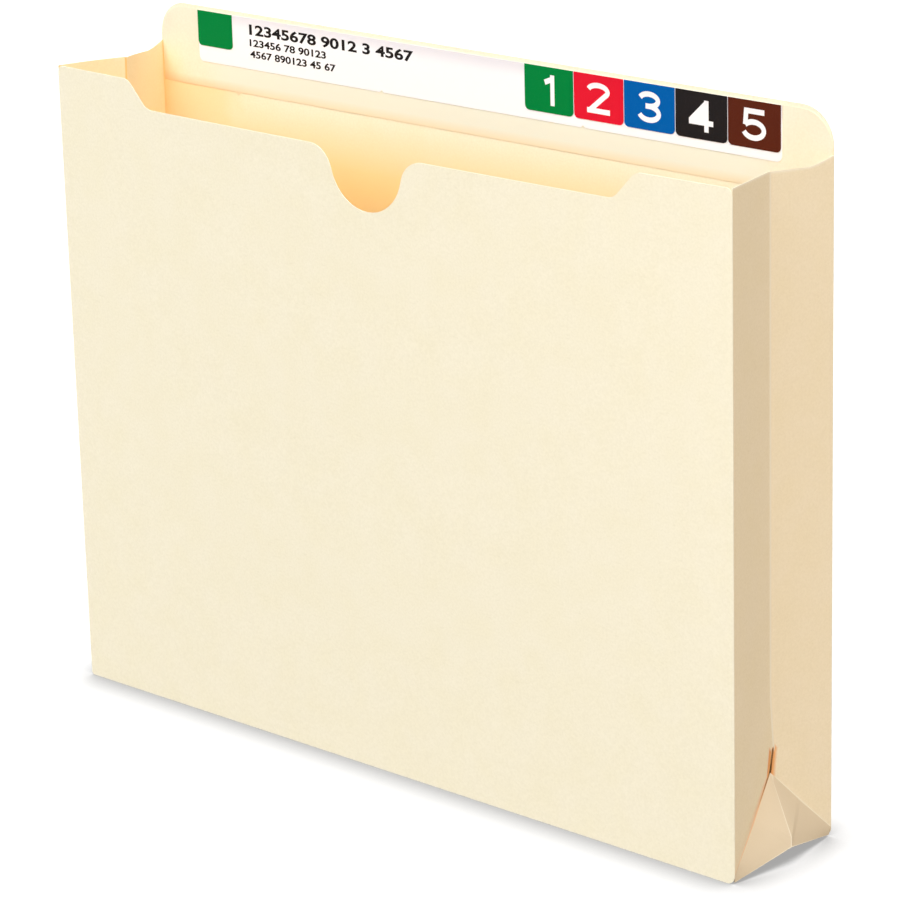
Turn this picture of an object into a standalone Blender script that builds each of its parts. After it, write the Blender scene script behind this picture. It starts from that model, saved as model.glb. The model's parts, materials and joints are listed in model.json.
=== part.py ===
"""Expanding file jacket: a scored manila sheet folded into a pocket, with a labelled tab at the back.

Units are metres, +Z is up and the front faces -Y. The origin is on the floor under the middle of the
jacket. The side gussets and the bottom are three pleats of the same make: two halves that meet in a
crease, which stands inside the pocket and folds further in as the jacket closes flat.
"""
import math

import bmesh
import bpy
from mathutils import Matrix, Vector

MM = 0.001

# Sheet, overall size and how far the jacket stands open
STOCK = 0.28 * MM
WIDTH = 298.45 * MM
BACK_HEIGHT = 241.3 * MM
TAB_RISE = 15.1 * MM
PLEAT_HALF = 25.4 * MM
OPEN_ANGLE = math.radians(78.5)

# Tab at the top of the back panel, and the second ply that stiffens it
TAB_CORNER = 12.0 * MM
TAB_PLY_HEIGHT = 28.8 * MM
TAB_PLY_INSET = 4.5 * MM

# Front edge: raised ears, a lower run between them and a thumb notch in its middle
EAR_WIDTH = 34.0 * MM
EAR_CORNER = 2.5 * MM
EAR_DROP = 9.5 * MM
EAR_CURVE = 5.9 * MM
EAR_SLOPE = math.radians(47.0)
NOTCH_DEPTH = 20.0 * MM
NOTCH_RADIUS = 16.0 * MM
NOTCH_SHOULDER = 9.7 * MM

# Corner folds at the feet of the gussets, and the relief slit over each of them
CORNER_RISE = 3.5 * MM
CORNER_BULGE = 3.4 * MM
CORNER_LIFT = 1.5 * MM
RELIEF_WIDTH = 1.2 * MM
RELIEF_RISE = 8.0 * MM

# Glued flaps that join the gussets to the front panel
FLAP_WIDTH = 12.7 * MM
FLAP_INSET = 4.5 * MM
FLAP_FOOT_GAP = 4.0 * MM
FLAP_TOP_GAP = 6.0 * MM

# Label strip on the tab, its index patch and its number patches
LABEL_STOCK = 0.1 * MM
LABEL_WIDTH = 259.3 * MM
LABEL_HEIGHT = 18.2 * MM
LABEL_DROP = 1.4 * MM
INDEX_WIDTH = 17.0 * MM
INDEX_HEIGHT = 12.4 * MM
PATCH_COUNT = 5
PATCH_PITCH = 21.2 * MM
PATCH_GAP = 0.4 * MM
PATCH_HEIGHT = 15.2 * MM
PATCH_CORNER = 2.0 * MM

# Clearances: from a plate's edge to its fold axis, at the bottom's ends, and for a film of glue
FOLD_GAP = 0.2 * MM
BOTTOM_END_GAP = 0.5 * MM
GLUE = 0.1 * MM

# Sizes that follow from those above
FRONT_HEIGHT = BACK_HEIGHT - TAB_RISE
LOW_EDGE = FRONT_HEIGHT - EAR_DROP
# A plate's inner face holds its panel's fold axis and its outer face holds the crease axis
PLATE = math.sqrt(PLEAT_HALF ** 2 - STOCK ** 2)
PLATE_ANGLE = OPEN_ANGLE - math.asin(STOCK / PLEAT_HALF)
POCKET_DEPTH = 2.0 * PLEAT_HALF * math.sin(OPEN_ANGLE)
FOLD_X = WIDTH / 2.0 - STOCK
BACK_FACE = POCKET_DEPTH / 2.0
BOTTOM_CREASE = STOCK + PLEAT_HALF * math.cos(OPEN_ANGLE)
ARC_STEPS = 10

MANILA = (0.93, 0.82, 0.58)
PAPER_WHITE = (0.95, 0.95, 0.95)
PATCH_COLOURS = (
    (0.0, 0.23, 0.05),
    (0.72, 0.01, 0.03),
    (0.0, 0.10, 0.40),
    (0.015, 0.013, 0.014),
    (0.09, 0.018, 0.008),
)
INDEX_COLOUR = PATCH_COLOURS[0]


def clear_scene():
    for item in list(bpy.data.objects):
        bpy.data.objects.remove(item)


def finish(name, colour, roughness):
    material = bpy.data.materials.new(name)
    material.use_nodes = True
    shader = material.node_tree.nodes["Principled BSDF"]
    shader.inputs["Base Color"].default_value = (*colour, 1.0)
    shader.inputs["Roughness"].default_value = roughness
    shader.inputs["Metallic"].default_value = 0.0
    return material


def put(item, parent, matrix):
    bpy.context.scene.collection.objects.link(item)
    item.parent = parent
    item.matrix_basis = matrix
    bpy.context.view_layer.update()
    return item


def empty(name, parent, matrix):
    return put(bpy.data.objects.new(name, None), parent, matrix)


def sheet(name, outline, near, far, colour, roughness, parent=None, matrix=Matrix()):
    """A flat sheet: an outline in its own XZ plane, from near to far along its own Y."""
    mesh = bpy.data.meshes.new(name)
    shape = bmesh.new()
    rim = [shape.verts.new((x, near, z)) for x, z in outline]
    face = shape.faces.new(rim)
    grown = bmesh.ops.extrude_face_region(shape, geom=[face])
    moved = [part for part in grown["geom"] if isinstance(part, bmesh.types.BMVert)]
    bmesh.ops.translate(shape, verts=moved, vec=(0.0, far - near, 0.0))
    bmesh.ops.recalc_face_normals(shape, faces=shape.faces)
    shape.to_mesh(mesh)
    shape.free()
    mesh.materials.append(finish(name, colour, roughness))
    return put(bpy.data.objects.new(name, mesh), parent, matrix)


def manila(name, outline, near, far, parent=None, matrix=Matrix()):
    return sheet(name, outline, near, far, MANILA, 0.75, parent, matrix)


def arc(centre_x, centre_z, radius, start, end):
    """Points on an arc, both ends included, angles in radians from +X towards +Z."""
    points = []
    for step in range(ARC_STEPS + 1):
        angle = start + (end - start) * step / ARC_STEPS
        points.append((centre_x + radius * math.cos(angle), centre_z + radius * math.sin(angle)))
    return points


def rectangle(left, right, low, high):
    return [(left, low), (right, low), (right, high), (left, high)]


def mirrored(right_half):
    """A whole outline from its right half, which runs from the bottom to the top of the middle line."""
    left_half = [(-x, z) for x, z in reversed(right_half) if x > 0.0]
    return right_half + left_half


def tab_outline(half, low, high):
    """A panel whose two upper corners have the tab's round."""
    corner = arc(half - TAB_CORNER, high - TAB_CORNER, TAB_CORNER, 0.0, math.pi / 2.0)
    return mirrored([(half, low)] + corner)


def front_outline():
    half = WIDTH / 2.0
    ear = arc(half - EAR_CORNER, FRONT_HEIGHT - EAR_CORNER, EAR_CORNER, 0.0, math.pi / 2.0)

    # The ear runs down to the low edge over two equal curves and a straight slope between them
    upright = math.pi / 2.0
    ear_end = half - EAR_WIDTH
    upper = arc(ear_end, FRONT_HEIGHT - EAR_CURVE, EAR_CURVE, upright, upright + EAR_SLOPE)
    straight_drop = EAR_DROP - 2.0 * EAR_CURVE * (1.0 - math.cos(EAR_SLOPE))
    curve_run = 2.0 * EAR_CURVE * math.sin(EAR_SLOPE) + straight_drop / math.tan(EAR_SLOPE)
    lower = arc(ear_end - curve_run, LOW_EDGE + EAR_CURVE, EAR_CURVE, EAR_SLOPE - upright, -upright)

    # Each shoulder's curve touches the notch's round bottom on the line between their centres
    notch_centre = LOW_EDGE - NOTCH_DEPTH + NOTCH_RADIUS
    shoulder_centre = LOW_EDGE - NOTCH_SHOULDER
    rise = shoulder_centre - notch_centre
    shoulder_x = math.sqrt((NOTCH_RADIUS + NOTCH_SHOULDER) ** 2 - rise ** 2)
    tilt = math.atan2(rise, shoulder_x)
    shoulder = arc(shoulder_x, shoulder_centre, NOTCH_SHOULDER, upright, math.pi + tilt)
    bottom = arc(0.0, notch_centre, NOTCH_RADIUS, tilt, -upright)
    bottom[-1] = (0.0, LOW_EDGE - NOTCH_DEPTH)
    return mirrored([(half, 0.0)] + ear + upper + lower + shoulder + bottom[1:])


def patch_outline(left, right, low, high):
    """A label patch, square at the top and rounded at the two lower corners."""
    first = arc(left + PATCH_CORNER, low + PATCH_CORNER, PATCH_CORNER, math.pi, 1.5 * math.pi)
    second = arc(right - PATCH_CORNER, low + PATCH_CORNER, PATCH_CORNER, 1.5 * math.pi, 2.0 * math.pi)
    return first + second + [(right, high), (left, high)]


def gusset_outline(from_fold, up):
    """Half a gusset: square at the top, cut along the corner fold and at the relief slit below."""
    fold_edge = FOLD_GAP
    crease_edge = PLATE - FOLD_GAP
    slit_edge = crease_edge - RELIEF_WIDTH
    corners = [
        (fold_edge, CORNER_RISE + fold_edge),
        (slit_edge, CORNER_RISE + slit_edge),
        (crease_edge, CORNER_RISE + crease_edge + RELIEF_RISE),
        (crease_edge, FRONT_HEIGHT),
        (fold_edge, FRONT_HEIGHT),
    ]
    return [(from_fold(along), up * height) for along, height in corners]


def bottom_outline():
    end = FOLD_X - BOTTOM_END_GAP
    return rectangle(FOLD_GAP, PLATE - FOLD_GAP, -end, end)


def frame_matrix(along, forward, axis, origin):
    """A frame whose X, Y and Z are the given directions."""
    turn = Matrix((along, forward, axis)).transposed().to_4x4()
    return Matrix.Translation(origin) @ turn


def pleat(name, base, back_half, front_half):
    """Two halves hinged at the back panel's fold and at the crease. Returns the two hinge empties."""
    base_empty = empty(f"{name}_base", None, base)
    fold = empty(f"{name}_fold", base_empty, Matrix.Rotation(PLATE_ANGLE, 4, "Z"))
    manila(f"{name}_back", back_half, 0.0, STOCK, fold)
    crease_turn = Matrix.Rotation(math.pi - 2.0 * PLATE_ANGLE, 4, "Z")
    crease = empty(f"{name}_crease", fold, Matrix.Translation((PLATE, STOCK, 0.0)) @ crease_turn)
    manila(f"{name}_front", front_half, -STOCK, 0.0, crease)
    return fold, crease


def corner_flap(name, parent, foot, apex, toe):
    """A three-sided fold, hinged from its foot to its apex, with its toe at the bottom of the ridge."""
    to_parent = parent.matrix_world.inverted()
    toe_point = to_parent @ toe
    along = (apex - foot).normalized()
    reach = toe_point - foot
    across = (reach - along * reach.dot(along)).normalized()
    normal = along.cross(across)

    base = (apex - foot).length
    toe_along = reach.dot(along)
    toe_across = reach.dot(across)
    corners = [Vector((0.0, 0.0)), Vector((base, 0.0)), Vector((toe_along, toe_across))]
    opposite = [(corners[1] - corners[2]).length, (corners[2] - corners[0]).length, base]
    perimeter = sum(opposite)
    centre = sum((corner * side for corner, side in zip(corners, opposite)), Vector((0.0, 0.0))) / perimeter
    inner_radius = base * toe_across / perimeter
    keep = 1.0 - (FOLD_GAP + STOCK) / inner_radius
    outline = [tuple(centre + (corner - centre) * keep) for corner in corners]

    inside = (to_parent @ Vector((0.0, 0.0, toe.z)) - foot).dot(normal)
    frame = frame_matrix(along, -normal, across, foot)
    near, far = (-STOCK, 0.0) if inside > 0.0 else (0.0, STOCK)
    return manila(name, outline, near, far, parent, frame)


def gusset(side_name, side):
    """One side's gusset and its corner folds. The frame's axis points up on the right, down on the left."""
    origin = Vector((side * FOLD_X, BACK_FACE, 0.0))
    base = frame_matrix((-side, 0.0, 0.0), (0.0, -1.0, 0.0), (0.0, 0.0, side), origin)
    back_half = gusset_outline(lambda along: along, side)
    front_half = gusset_outline(lambda along: PLATE - along, side)
    fold, crease = pleat(f"{side_name}_gusset", base, back_half, front_half)

    low = side * CORNER_RISE
    high = side * (CORNER_RISE + PLATE)
    ridge_x = side * (WIDTH / 2.0 + CORNER_BULGE)
    toe = Vector((ridge_x, 0.0, BOTTOM_CREASE + CORNER_LIFT))
    corner_flap(f"{side_name}_corner_back", fold, Vector((0.0, STOCK, low)), Vector((PLATE, STOCK, high)), toe)
    corner_flap(f"{side_name}_corner_front", crease, Vector((PLATE, 0.0, low)), Vector((0.0, 0.0, high)), toe)
    return crease


def bottom():
    origin = Vector((0.0, BACK_FACE, STOCK))
    base = frame_matrix((0.0, 0.0, 1.0), (0.0, -1.0, 0.0), (1.0, 0.0, 0.0), origin)
    pleat("bottom", base, bottom_outline(), bottom_outline())


def back_panel():
    manila("back_panel", tab_outline(WIDTH / 2.0, 0.0, BACK_HEIGHT), BACK_FACE, BACK_FACE + STOCK)
    top = BACK_HEIGHT - LABEL_DROP
    ply_face = BACK_FACE - GLUE - STOCK
    ply = tab_outline(FOLD_X - TAB_PLY_INSET, BACK_HEIGHT - TAB_PLY_HEIGHT, top)
    manila("tab_ply", ply, ply_face, ply_face + STOCK)
    labels(top, ply_face)


def labels(top, ply_face):
    half = LABEL_WIDTH / 2.0
    strip_face = ply_face - GLUE - LABEL_STOCK
    strip = rectangle(-half, half, top - LABEL_HEIGHT, top)
    sheet("label_strip", strip, strip_face, strip_face + LABEL_STOCK, PAPER_WHITE, 0.4)

    patch_face = strip_face - GLUE - LABEL_STOCK
    patch_back = patch_face + LABEL_STOCK
    index = patch_outline(-half, -half + INDEX_WIDTH, top - INDEX_HEIGHT, top)
    sheet("index_patch", index, patch_face, patch_back, INDEX_COLOUR, 0.4)
    for number in range(PATCH_COUNT):
        left = half - (PATCH_COUNT - number) * PATCH_PITCH
        outline = patch_outline(left, left + PATCH_PITCH - PATCH_GAP, top - PATCH_HEIGHT, top)
        colour = PATCH_COLOURS[number % len(PATCH_COLOURS)]
        sheet(f"number_patch_{number + 1}", outline, patch_face, patch_back, colour, 0.4)


def front_panel(crease):
    """The front panel and the glued flaps behind it, carried by the right gusset's front half."""
    fold_point = Matrix.Translation((FOLD_X, -BACK_FACE, 0.0))
    fold = empty("front_fold", crease, crease.matrix_world.inverted() @ fold_point)
    to_fold = Matrix.Translation((-FOLD_X, BACK_FACE, 0.0))
    manila("front_panel", front_outline(), -BACK_FACE - STOCK, -BACK_FACE, fold, to_fold)

    flap_face = -BACK_FACE + GLUE
    low = CORNER_RISE + PLEAT_HALF + FLAP_FOOT_GAP
    for side_name, side in (("left", -1.0), ("right", 1.0)):
        outer = side * (FOLD_X - FLAP_INSET)
        inner = side * (FOLD_X - FLAP_INSET - FLAP_WIDTH)
        outline = rectangle(min(inner, outer), max(inner, outer), low, FRONT_HEIGHT - FLAP_TOP_GAP)
        manila(f"{side_name}_seam_flap", outline, flap_face, flap_face + STOCK, fold, to_fold)


def build():
    clear_scene()
    back_panel()
    bottom()
    gusset("left", -1.0)
    right_crease = gusset("right", 1.0)
    front_panel(right_crease)


build()
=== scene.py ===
"""Looks of an expanding manila file jacket, laid out as an add-on and run as a script.

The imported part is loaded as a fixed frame, and each operator makes one piece, or one group of like
pieces, where the solids that it stands for are. Lengths are metres, +Z is up and the front faces -Y.
"""
import json
import math

import bmesh
import bpy
from bpy.props import FloatProperty, FloatVectorProperty, PointerProperty, StringProperty
from mathutils import Matrix, Vector
from mathutils.geometry import delaunay_2d_cdt


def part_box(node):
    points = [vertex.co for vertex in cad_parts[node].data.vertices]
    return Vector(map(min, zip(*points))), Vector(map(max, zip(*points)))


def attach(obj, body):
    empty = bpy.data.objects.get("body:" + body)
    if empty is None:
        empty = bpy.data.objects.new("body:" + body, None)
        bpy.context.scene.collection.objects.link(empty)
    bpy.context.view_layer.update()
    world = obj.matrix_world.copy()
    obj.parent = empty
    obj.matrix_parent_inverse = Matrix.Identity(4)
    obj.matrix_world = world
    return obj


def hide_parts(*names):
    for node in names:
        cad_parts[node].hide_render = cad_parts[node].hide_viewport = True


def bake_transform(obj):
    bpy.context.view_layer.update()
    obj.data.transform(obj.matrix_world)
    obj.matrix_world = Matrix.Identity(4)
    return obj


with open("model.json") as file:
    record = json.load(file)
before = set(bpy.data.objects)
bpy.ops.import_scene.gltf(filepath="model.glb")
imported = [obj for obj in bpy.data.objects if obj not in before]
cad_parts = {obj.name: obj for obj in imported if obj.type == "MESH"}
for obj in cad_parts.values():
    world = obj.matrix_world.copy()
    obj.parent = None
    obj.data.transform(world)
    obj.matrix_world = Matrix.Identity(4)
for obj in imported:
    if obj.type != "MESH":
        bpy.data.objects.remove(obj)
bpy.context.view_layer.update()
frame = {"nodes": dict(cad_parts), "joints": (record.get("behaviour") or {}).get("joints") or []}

bl_info = {
    "name": "Manila File Jacket",
    "version": (1, 0, 0),
    "blender": (4, 5, 0),
    "location": "View3D > Sidebar > Jacket",
    "description": "Folds an expanding manila file jacket with a labelled tab around its packed frame",
    "category": "Object",
}

MM = 0.001


def joint_vector(name, key):
    """A joint's axis, or a point on it."""
    return Vector(next(joint for joint in frame["joints"] if joint["name"] == name)[key])


# Places and sizes that the frame gives
BACK_LOW, BACK_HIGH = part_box("back_panel")
FRONT_LOW, FRONT_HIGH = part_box("front_panel")
STRIP_LOW, STRIP_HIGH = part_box("label_strip")
PLY_LOW, PLY_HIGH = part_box("tab_ply")
HALF_WIDTH = BACK_HIGH.x
STOCK = BACK_HIGH.y - BACK_LOW.y
SIDE_FOLD = joint_vector("expand", "pos_m")
SIDE_CREASE = joint_vector("right_crease", "pos_m")
BOTTOM_FOLD = joint_vector("bottom_fold", "pos_m")
BOTTOM_CREASE = joint_vector("bottom_crease", "pos_m")
CORNER_FOOT = joint_vector("right_corner_back_fold", "pos_m")
CORNER_AXIS = joint_vector("right_corner_back_fold", "axis")
NUMBER_PATCHES = sorted(name for name in frame["nodes"] if name.startswith("number_patch"))

# Each pleat's fold and crease, as distances outwards, and its fold's distance from the middle
SIDE_PLEAT = (SIDE_FOLD.x, SIDE_CREASE.x, SIDE_FOLD.y)
BOTTOM_PLEAT = (-BOTTOM_FOLD.z, -BOTTOM_CREASE.z, BOTTOM_FOLD.y)

# The sides and the halves, with the signs of their X and their Y
SIDES = (("right", 1.0), ("left", -1.0))
HALVES = (("back", 1.0), ("front", -1.0))

# How finely the meshes are cut
ARC_STEPS = 8
BEND_STEPS = 8
ROW_COUNT = 24
GRID_STEP = 6.0 * MM

# Gaps that keep stacked sheets and print from sharing a face, and points closer than a weld are one
SHEET_GAP = 0.01 * MM
WELD = 0.001 * MM

# The inner tone is painted shade: the warmer, darker look that bounced light and shadow give the inner faces,
# by depth below the front's ears and by distance from a side fold
DEEP_DEPTHS = (13.0 * MM, 36.0 * MM)
FADED_DEPTHS = (50.0 * MM, 110.0 * MM)
FADED_SHARE = 0.7
END_TONE = 0.66
END_DEPTHS = (-4.0 * MM, 2.0 * MM)
END_REACH = (28.0 * MM, 46.0 * MM)
FOLD_TONE = 0.8
FOLD_DEPTHS = (-1.0 * MM, 9.0 * MM)
FOLD_REACH = (0.0, 14.0 * MM)
LIT_FOLD_EXTRA = 9.0 * MM

# How much of the painted inner shade a gusset shows, all of it counting as this far from a fold
GUSSET_SHADE = 0.5
BESIDE_FOLD = 3.0 * MM

# How much of a tone these show: painted shade along a pleat's inner pressed lines, the greyer ply at the
# tab's ends, a painted shadow line along the ply's lower edge, painted shade on the corner folds' faces and
# an orange line along the front corner folds' hinges
PRESSED_LINE_SHADE = 1.0
PLY_WEAR = 0.22
PLY_EDGE_SHADOW = 0.45
CORNER_SHADE = 0.85
CORNER_HINGE_LINE = 0.6


def linear(hex_colour):
    """An sRGB hex colour as linear red, green, blue and alpha."""
    channels = [int(hex_colour[start:start + 2], 16) / 255.0 for start in (0, 2, 4)]
    return [c / 12.92 if c <= 0.04045 else ((c + 0.055) / 1.055) ** 2.4 for c in channels] + [1.0]


def length(name, default, description):
    """A length in metres as a property."""
    return FloatProperty(name=name, description=description, default=default, min=0.0, unit="LENGTH")


def colour(name, hex_colour, description):
    """A colour as a property, from sRGB hex."""
    return FloatVectorProperty(
        name=name, description=description, default=linear(hex_colour),
        size=4, min=0.0, max=1.0, subtype="COLOR")


class JacketPaper(bpy.types.PropertyGroup):
    """Sizes and colours of the folded manila sheet."""

    manila: colour("Manila", "FBF3DB", "Calendered face of the sheet")
    manila_shade: colour("Manila shade", "F8EFD0", "Denser clouds in the sheet")
    fibre: colour("Fibre", "D6CCAA", "Darker fibres in the sheet")
    # Pale rim along each cut, partly painted highlight, and painted highlight along the outer creases, the
    # corner folds' ridges and their back hinges
    pale_rim_and_highlight: colour("Cut edge", "FFFCEC", "Raw rim where the sheet was cut")
    # Painted shade: the warm, darker tone that bounced light and shadow give the inner faces
    inside: colour("Inside", "F9D492", "Inner face deep below the mouth and beside the folds")
    # Greyer tone: painted shade on the corner folds' faces, and wear from handling on the tab's ends
    handled: colour("Handled", "E1D6BF", "Face of the corner folds and the tab's ends, greyer from handling")
    ply: colour("Ply", "EEEDDB", "Face of the tab's inner ply below the label, a paler sheet")
    # Orange tone: raw fibres along the relief slit, a painted shadow line along the ply's lower edge, and a
    # line along the front corner folds' hinges
    torn_fibre_and_shadow: colour("Torn edge", "F0A860", "Raw fibres along the relief slit and its score")
    front_bow: length("Front bow", 3.0 * MM, "How far the front panel's upper middle stands out")
    rim_width: length("Rim width", 0.4 * MM, "Width of the paler rim beside a cut")
    score_width: length("Score width", 1.1 * MM, "Width of the pressed line that a crease folds on")
    crease_lean: length("Crease lean", 2.0 * MM, "How much further in the left crease stands at its top")
    left_corner: length("Left corner", 1.2 * MM, "Round at the panels' lower left corners")
    right_corner: length("Right corner", 3.0 * MM, "Round at the panels' lower right corners")
    mouth_dip: length("Mouth dip", 1.6 * MM, "How far the gussets' upper edge dips beside the back panel")
    slit_rise: length("Slit rise", 8.0 * MM, "How far the relief slit runs up from the corner fold")
    slit_width: length("Slit width", 0.9 * MM, "Width of the relief slit in front of the crease")
    slit_gap: length("Slit gap", 1.0 * MM, "How far the slit stands open along the front corner fold")
    slit_slant: length("Slit slant", 1.6 * MM, "How far the slit's upper end leans to the back")
    slit_reach: length("Slit reach", 8.0 * MM, "How far the slit runs along the front corner fold")
    ridge_reach: length("Ridge reach", 3.3 * MM, "How far the corner folds stand out past the panels")
    ridge_low: length("Ridge foot", 5.5 * MM, "Height of the corner folds' ridge at its foot")
    ridge_high: length("Ridge bend", 8.7 * MM, "Height where the ridge turns upright")
    tooth_width: length("Ply tooth width", 2.4 * MM, "Width of the nib on the tab ply's lower edge")
    tooth_depth: length("Ply tooth depth", 1.2 * MM, "Depth of the nib on the tab ply's lower edge")


class JacketLabels(bpy.types.PropertyGroup):
    """Sizes, colours and print of the label strip and its patches."""

    white: colour("Label white", "FAFBFF", "Coated face of the label strip")
    shade: colour("Label shade", "E9E7EE", "Grey tint along the strip's upper edge")
    green: colour("Green", "007E3B", "Ink of the index patch and the first number patch")
    red: colour("Red", "DE1B32", "Ink of the second number patch")
    blue: colour("Blue", "005CAB", "Ink of the third number patch")
    black: colour("Black", "211E1F", "Ink of the fourth number patch and the number lines")
    brown: colour("Brown", "562416", "Ink of the fifth number patch")
    corner: length("Patch corner", 1.7 * MM, "Round at a patch's lower corners")
    strip_corner: length("Strip corner", 2.2 * MM, "Round at the label strip's lower corners")
    nick_width: length("Nick width", 2.0 * MM, "Width of the nicks in the strip's lower edge")
    nick_depth: length("Nick depth", 0.8 * MM, "Depth of the nicks in the strip's lower edge")
    digit_height: length("Digit height", 10.2 * MM, "Height of a number patch's digit")
    digit_width: length("Digit width", 9.8 * MM, "Width of a number patch's digit")
    digit_stroke: length("Digit stroke", 1.75 * MM, "Width of a digit's strokes")
    first_line: StringProperty(name="First line", description="Bold numbers", default="12345678 9012 3 4567")
    second_line: StringProperty(name="Second line", description="Smaller numbers", default="123456 78 90123")
    third_line: StringProperty(name="Third line", description="Smaller numbers", default="4567 890123 45 67")


class JacketStage(bpy.types.PropertyGroup):
    """Floor, lights and camera."""

    floor: colour("Floor", "6A6A6A", "What the plain floor throws back at the jacket")
    contact: length("Contact shadow", 16.0 * MM, "How far the floor darkens around what stands on it")
    lens: FloatProperty(
        name="Lens", description="Focal length in millimetres", default=156.34, min=1.0, unit="CAMERA")


# The property groups, by the names that the scene has them under
GROUPS = {"jacket_paper": JacketPaper, "jacket_labels": JacketLabels, "jacket_stage": JacketStage}


def settings():
    """The paper's, the labels' and the stage's properties."""
    return [getattr(bpy.context.scene, name) for name in GROUPS]


# Materials


def per_mm(size):
    """The scale of a pattern on metre coordinates whose features are this many millimetres wide."""
    return 1000.0 / size


def add(tree, kind, inputs=None, **values):
    """Adds a node, sets its properties, and sets or links its inputs."""
    node = tree.nodes.new(kind)
    for name, value in values.items():
        setattr(node, name, value)
    for name, value in (inputs or {}).items():
        if isinstance(value, bpy.types.NodeSocket):
            tree.links.new(value, node.inputs[name])
        else:
            node.inputs[name].default_value = value
    return node


def new_material(name):
    """A new material, its node tree and its Principled shader."""
    material = bpy.data.materials.new(name)
    material.use_nodes = True
    tree = material.node_tree
    return material, tree, tree.nodes["Principled BSDF"]


def manila_tagboard():
    """Calendered manila tagboard: wood fibre pressed smooth and left uncoated.

    The eye sees a matte cream sheet with faint clouds and a fine grain with a few darker fibres. Painted
    shade makes it warmer and darker inside the jacket and beside the folds, and greyer on the corner folds.
    The tab's ends are greyer from handling and the tab's inner ply is paler. A pale line runs along each
    cut, partly painted highlight, and painted highlights run along the outer creases, the corner folds'
    ridges and their back hinges. Raw orange fibres line the relief slit where it was torn open, and the same
    orange is a painted shadow line along the ply's lower edge and a line along the front corner folds'
    hinges.
    """
    paper = settings()[0]
    material, tree, shader = new_material("manila_tagboard")
    place = add(tree, "ShaderNodeTexCoord").outputs["Object"]
    long_way = add(tree, "ShaderNodeMapping", {"Vector": place, "Scale": (0.22, 1.0, 1.0)}).outputs[0]
    clouds = add(tree, "ShaderNodeTexNoise", {"Vector": place, "Scale": per_mm(11.0), "Detail": 3.0})
    strands = add(tree, "ShaderNodeTexNoise", {"Vector": long_way, "Scale": per_mm(0.7), "Detail": 1.0})
    # Real fibre grain is a tenth of this size: it is drawn as coarse as a pixel, so that it shows
    grain = add(tree, "ShaderNodeTexNoise", {"Vector": place, "Scale": per_mm(0.8), "Detail": 2.0})

    # Each pattern's tone, where the pattern starts and is full, and how much of the tone it shows then
    patterns = (
        (clouds, paper.manila_shade, 0.35, 0.7, 0.4),
        (strands, paper.fibre, 0.66, 0.8, 0.12),
        (grain, paper.fibre, 0.3, 0.7, 0.165),
    )
    tones = (
        ("ply", paper.ply), ("inside", paper.inside), ("handled", paper.handled),
        ("cut", paper.pale_rim_and_highlight), ("torn", paper.torn_fibre_and_shadow))
    coats = []
    for pattern, tone, start, full, most in patterns:
        amount = add(tree, "ShaderNodeMapRange", {
            "Value": pattern.outputs["Fac"], "From Min": start, "From Max": full, "To Max": most})
        coats.append((amount.outputs[0], tone))
    for name, tone in tones:
        reach = add(tree, "ShaderNodeAttribute", attribute_name=name)
        coats.append((reach.outputs["Fac"], tone))
    face = paper.manila
    for amount, tone in coats:
        face = add(tree, "ShaderNodeMix", {0: amount, 6: face, 7: tone}, data_type="RGBA").outputs[2]
    tree.links.new(face, shader.inputs["Base Color"])

    dullness = add(tree, "ShaderNodeMapRange", {
        "Value": grain.outputs["Fac"], "To Min": 0.66, "To Max": 0.84})
    tree.links.new(dullness.outputs[0], shader.inputs["Roughness"])
    tooth = add(tree, "ShaderNodeBump", {
        "Height": grain.outputs["Fac"], "Strength": 0.22, "Distance": 0.06 * MM})
    tree.links.new(tooth.outputs[0], shader.inputs["Normal"])
    shader.inputs["Specular IOR Level"].default_value = 0.3
    shader.inputs["IOR"].default_value = 1.5
    return material


def coated_label():
    """Clay-coated label paper: bright white with a satin face, tinted grey along its upper edge."""
    labels = settings()[1]
    material, tree, shader = new_material("coated_label_paper")
    place = add(tree, "ShaderNodeTexCoord").outputs["Object"]
    height = add(tree, "ShaderNodeSeparateXYZ", {"Vector": place}).outputs["Z"]
    tint_depth = 6.0 * MM
    greyness = add(tree, "ShaderNodeMapRange", {
        "Value": height, "From Min": STRIP_HIGH.z - tint_depth, "From Max": STRIP_HIGH.z,
    }, interpolation_type="SMOOTHSTEP")
    face = add(tree, "ShaderNodeMix", {
        0: greyness.outputs[0], 6: labels.white, 7: labels.shade}, data_type="RGBA")
    tree.links.new(face.outputs[2], shader.inputs["Base Color"])
    coat = add(tree, "ShaderNodeTexNoise", {"Vector": place, "Scale": per_mm(0.8), "Detail": 2.0})
    dullness = add(tree, "ShaderNodeMapRange", {
        "Value": coat.outputs["Fac"], "To Min": 0.36, "To Max": 0.5})
    tree.links.new(dullness.outputs[0], shader.inputs["Roughness"])
    ripple = add(tree, "ShaderNodeBump", {
        "Height": coat.outputs["Fac"], "Strength": 0.05, "Distance": 0.03 * MM})
    tree.links.new(ripple.outputs[0], shader.inputs["Normal"])
    return material


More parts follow.
